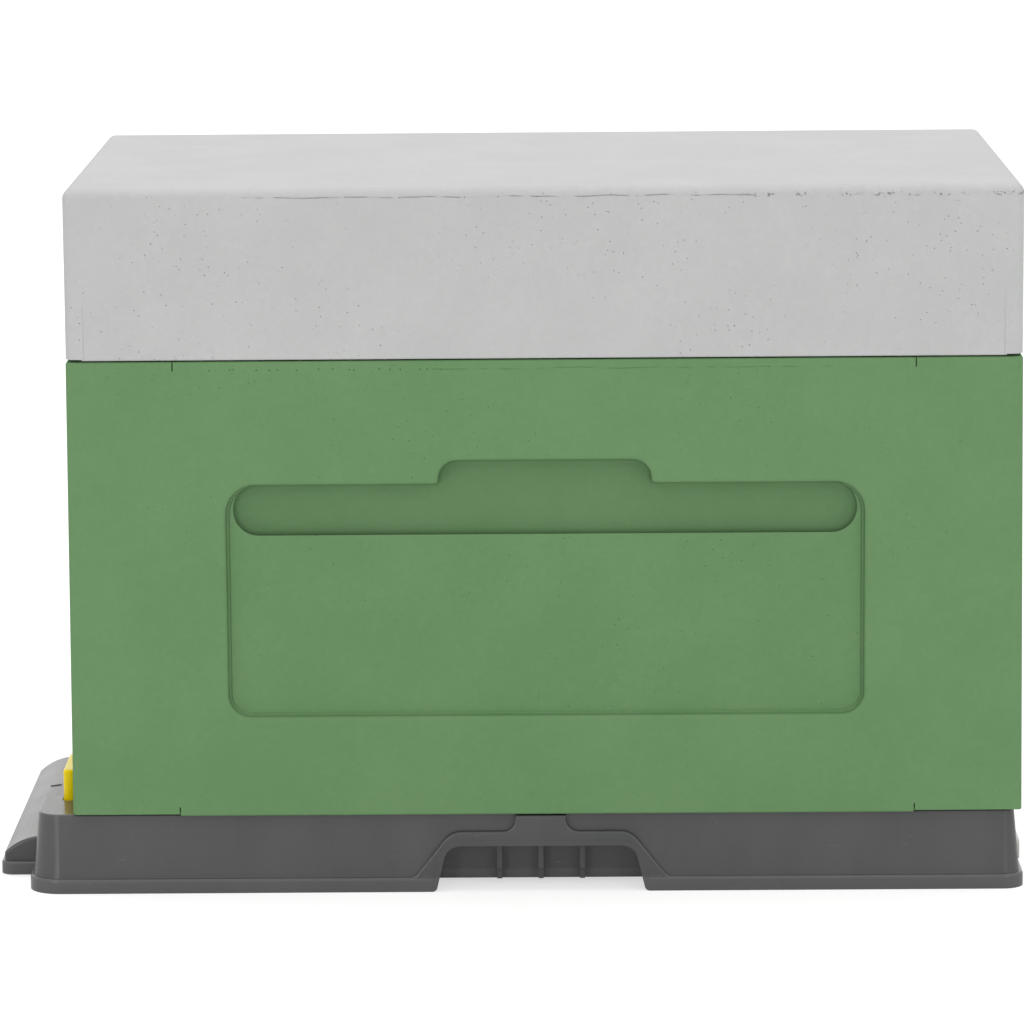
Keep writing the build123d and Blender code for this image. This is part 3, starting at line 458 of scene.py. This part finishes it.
dress(polycarbonate("clearPolycarbonate"), "crown_sheet")
print("wood, metal and clear sheet finished")

# Beeswax foundation: translucent amber, bloomed paler in patches.
wax = {
    "colour": "#dcab47", "bloom": "#e3b95f", "roughness": 0.42, "patch": 35.0,
    "smear": 1.2, "smearDepth": 0.03, "glow": 0.25, "lightReach": (2.5, 1.4, 0.5),
}


def beeswax(name):
    material, place = startMaterial(name)
    bloom = addNode(material, "TexNoise", {}, {"Vector": place, "Scale": 1 / (wax["patch"] * mm), "Detail": 5.0})
    bloomTone = addNode(material, "MapRange", {}, {0: bloom, 1: 0.4, 2: 0.7})
    colour = addNode(material, "Mix", twoColours,
                     {"Factor": bloomTone, 6: linear(wax["colour"]), 7: linear(wax["bloom"])})
    smear = addNode(material, "TexNoise", {}, {"Vector": place, "Scale": 1 / (wax["smear"] * mm), "Detail": 2.0})
    height = addNode(material, "MapRange", {}, {0: smear, 3: -wax["smearDepth"], 4: wax["smearDepth"]})
    return finishMaterial(material, colour.outputs[2], wax["roughness"], height, Subsurface_Weight=wax["glow"],
                          Subsurface_Radius=[reach * mm for reach in wax["lightReach"]])


# Pressed foundation: six-sided cells rolled into both faces of the sheet
cells = {"pitch": 5.4, "wall": 0.55, "press": 0.8, "point": 0.35, "weld": 0.02}


def selectAll(action):
    bpy.ops.mesh.select_all(action=action)


def apply(piece, kind, **settings):
    modifier = piece.modifiers.new(kind.lower(), kind)
    for name, value in settings.items():
        setattr(modifier, name, value)
    bpy.ops.object.modifier_apply(modifier=modifier.name)


def pressedSheet(name, node):
    low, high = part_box(node)
    pitch = cells["pitch"] * mm
    rowStep = pitch * math.sqrt(3) / 2
    columns = math.ceil((high.x - low.x) / pitch) + 2
    rowPairs = math.ceil((high.z - low.z) / rowStep / 2) + 1
    bpy.ops.object.select_all(action="DESELECT")
    bpy.ops.mesh.primitive_circle_add(vertices=6, radius=pitch / math.sqrt(3), fill_type="NGON")
    piece = bpy.context.active_object
    piece.name = name
    bpy.ops.object.mode_set(mode="EDIT")
    selectAll("SELECT")
    bpy.ops.mesh.inset(thickness=cells["wall"] * mm, depth=-cells["press"] * mm)
    bpy.ops.mesh.poke(offset=-cells["point"] * mm)
    selectAll("SELECT")
    bpy.ops.mesh.duplicate()
    bpy.ops.transform.translate(value=(pitch / 2, rowStep, 0.0))
    bpy.ops.object.mode_set(mode="OBJECT")
    for count, step in ((columns, (pitch, 0.0, 0.0)), (rowPairs, (0.0, 2 * rowStep, 0.0))):
        apply(piece, "ARRAY", count=count, use_relative_offset=False, use_constant_offset=True,
              constant_offset_displace=step)
    apply(piece, "WELD", merge_threshold=cells["weld"] * mm)

    # stand the rolled face up on the sheet's near side and trim it to the sheet
    start = Matrix.Translation((low.x - pitch / 2, low.y, low.z - rowStep / 2))
    piece.data.transform(start @ Matrix.Rotation(math.pi / 2, 4, "X"))
    bpy.ops.object.mode_set(mode="EDIT")
    for corner, normal in ((low, (-1, 0, 0)), (low, (0, 0, -1)), (high, (1, 0, 0)), (high, (0, 0, 1))):
        selectAll("SELECT")
        bpy.ops.mesh.bisect(plane_co=corner, plane_no=normal, clear_outer=True)

    # the far face is the near one turned over, and the two are joined round the edge
    middle = (low.y + high.y) / 2
    selectAll("SELECT")
    bpy.ops.mesh.duplicate()
    bpy.ops.transform.mirror(constraint_axis=(False, True, False), center_override=(0.0, middle, 0.0))
    bpy.ops.mesh.flip_normals()
    selectAll("DESELECT")
    bpy.ops.mesh.select_mode(type="EDGE")
    bpy.ops.mesh.select_non_manifold()
    bpy.ops.mesh.bridge_edge_loops()
    selectAll("SELECT")
    bpy.ops.mesh.normals_make_consistent(inside=False)
    bpy.ops.object.mode_set(mode="OBJECT")
    return piece


waxFinish = beeswax("pressedBeeswax")
firstSheet = pressedSheet("frame_1_pressed_wax", "frame_1_wax_sheet")
firstSheet.data.materials.append(waxFinish)
firstMiddle = sum(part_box("frame_1_wax_sheet"), Vector()) / 2
for number in frameNumbers:
    node = f"frame_{number}_wax_sheet"
    sheet = firstSheet
    if number > 1:
        sheet = bpy.data.objects.new(f"frame_{number}_pressed_wax", firstSheet.data.copy())
        scene.collection.objects.link(sheet)
        sheet.data.transform(Matrix.Translation(sum(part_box(node), Vector()) / 2 - firstMiddle))
    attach(sheet, f"frame_{number}")
    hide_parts(node)
print("wax pressed:", len(firstSheet.data.polygons), "faces a sheet")

# White studio, in metres and watts: a pale floor, one broad lamp high overhead, two narrow strips in front
# that draw the edges, and a low bright wall behind. Each light has its place, width, height and power.
studio = {
    "floorSize": 14.0, "floorBounce": "#ececec", "floorTone": "#c4c4c4", "floorGlow": 0.62,
    "white": "#ffffff", "sky": 0.78,
    "lights": [
        ("overhead", (hiveX, 0.6, 5.0), 4.6, 3.6, 104.0),
        ("leftStrip", (hiveX - 1.1, -2.4, 0.4), 0.1, 0.8, 5.5),
        ("rightStrip", (hiveX + 1.2, -2.3, 0.85), 0.2, 1.6, 5.0),
        ("backWall", (hiveX, 2.6, 0.75), 4.0, 1.4, 5.0),
    ],
    "aim": Vector((hiveX, 0.0, 0.2)),
}


def buildFloor():
    # the camera sees a glowing pale floor that keeps the shadow; other rays see plain matt card
    bpy.ops.object.select_all(action="DESELECT")
    bpy.ops.mesh.primitive_plane_add(size=studio["floorSize"])
    ground = bpy.context.active_object
    ground.name = "studioFloor"
    material = blankNodes(bpy.data.materials.new("paleStudioFloor"))
    path = addNode(material, "LightPath")
    seen = addNode(material, "Math", most,
                   {0: path.outputs["Is Camera Ray"], 1: path.outputs["Is Transmission Ray"]})
    tone = addNode(material, "Mix", twoColours,
                   {"Factor": seen, 6: linear(studio["floorBounce"]), 7: linear(studio["floorTone"])})
    matt = addNode(material, "BsdfDiffuse", {}, {"Color": tone.outputs[2]})
    glowLevel = addNode(material, "Math", times, {0: seen, 1: studio["floorGlow"]})
    glow = addNode(material, "Emission", {}, {"Color": linear(studio["white"]), "Strength": glowLevel})
    both = addNode(material, "AddShader", {}, {0: matt, 1: glow})
    addNode(material, "OutputMaterial", {}, {"Surface": both})
    ground.data.materials.append(material)


def buildSky():
    # white to the camera, in reflections and through the clear sheet; softer as light
    world = blankNodes(bpy.data.worlds.new("studioSky"))
    path = addNode(world, "LightPath")
    direct = addNode(world, "Math", most,
                     {0: path.outputs["Is Camera Ray"], 1: path.outputs["Is Transmission Ray"]})
    seen = addNode(world, "Math", most, {0: direct, 1: path.outputs["Is Glossy Ray"]})
    light = addNode(world, "Background", {}, {"Color": linear(studio["white"]), "Strength": studio["sky"]})
    backdrop = addNode(world, "Background", {}, {"Color": linear(studio["white"]), "Strength": 1.0})
    mixed = addNode(world, "MixShader", {}, {0: seen, 1: light, 2: backdrop})
    addNode(world, "OutputWorld", {}, {"Surface": mixed})
    scene.world = world


def hangLights():
    for name, place, width, height, power in studio["lights"]:
        lamp = bpy.data.lights.new(name, "AREA")
        lamp.shape = "RECTANGLE"
        lamp.size = width
        lamp.size_y = height
        lamp.energy = power
        holder = bpy.data.objects.new(name, lamp)
        holder.location = place
        holder.rotation_euler = (studio["aim"] - Vector(place)).to_track_quat("-Z", "Y").to_euler()
        scene.collection.objects.link(holder)


buildFloor()
buildSky()
hangLights()

# Camera fitted to the photograph: a long lens in front of the long side, looking down by ten degrees.
# focal and frame are in pixels, sensor in millimetres, place in metres and the turns in degrees.
shot = {
    "focal": 5229.4, "frame": 1024, "sensor": 36.0, "place": (hiveX + 6.63 * mm, -2.92158, 0.68593),
    "down": 9.755, "left": 0.5036, "roll": -0.4606,
}


def buildCamera():
    data = bpy.data.cameras.new("photoCamera")
    data.sensor_width = shot["sensor"]
    data.lens = shot["focal"] * shot["sensor"] / shot["frame"]
    camera = bpy.data.objects.new("photoCamera", data)
    turn = Matrix.Rotation(math.radians(shot["left"]), 4, "Z")
    tilt = Matrix.Rotation(math.radians(90 - shot["down"]), 4, "X")
    lean = Matrix.Rotation(math.radians(shot["roll"]), 4, "Z")
    camera.matrix_world = Matrix.Translation(shot["place"]) @ turn @ tilt @ lean
    scene.collection.objects.link(camera)
    scene.camera = camera


buildCamera()
scene.view_settings.view_transform = "Standard"
print("studio and camera set")
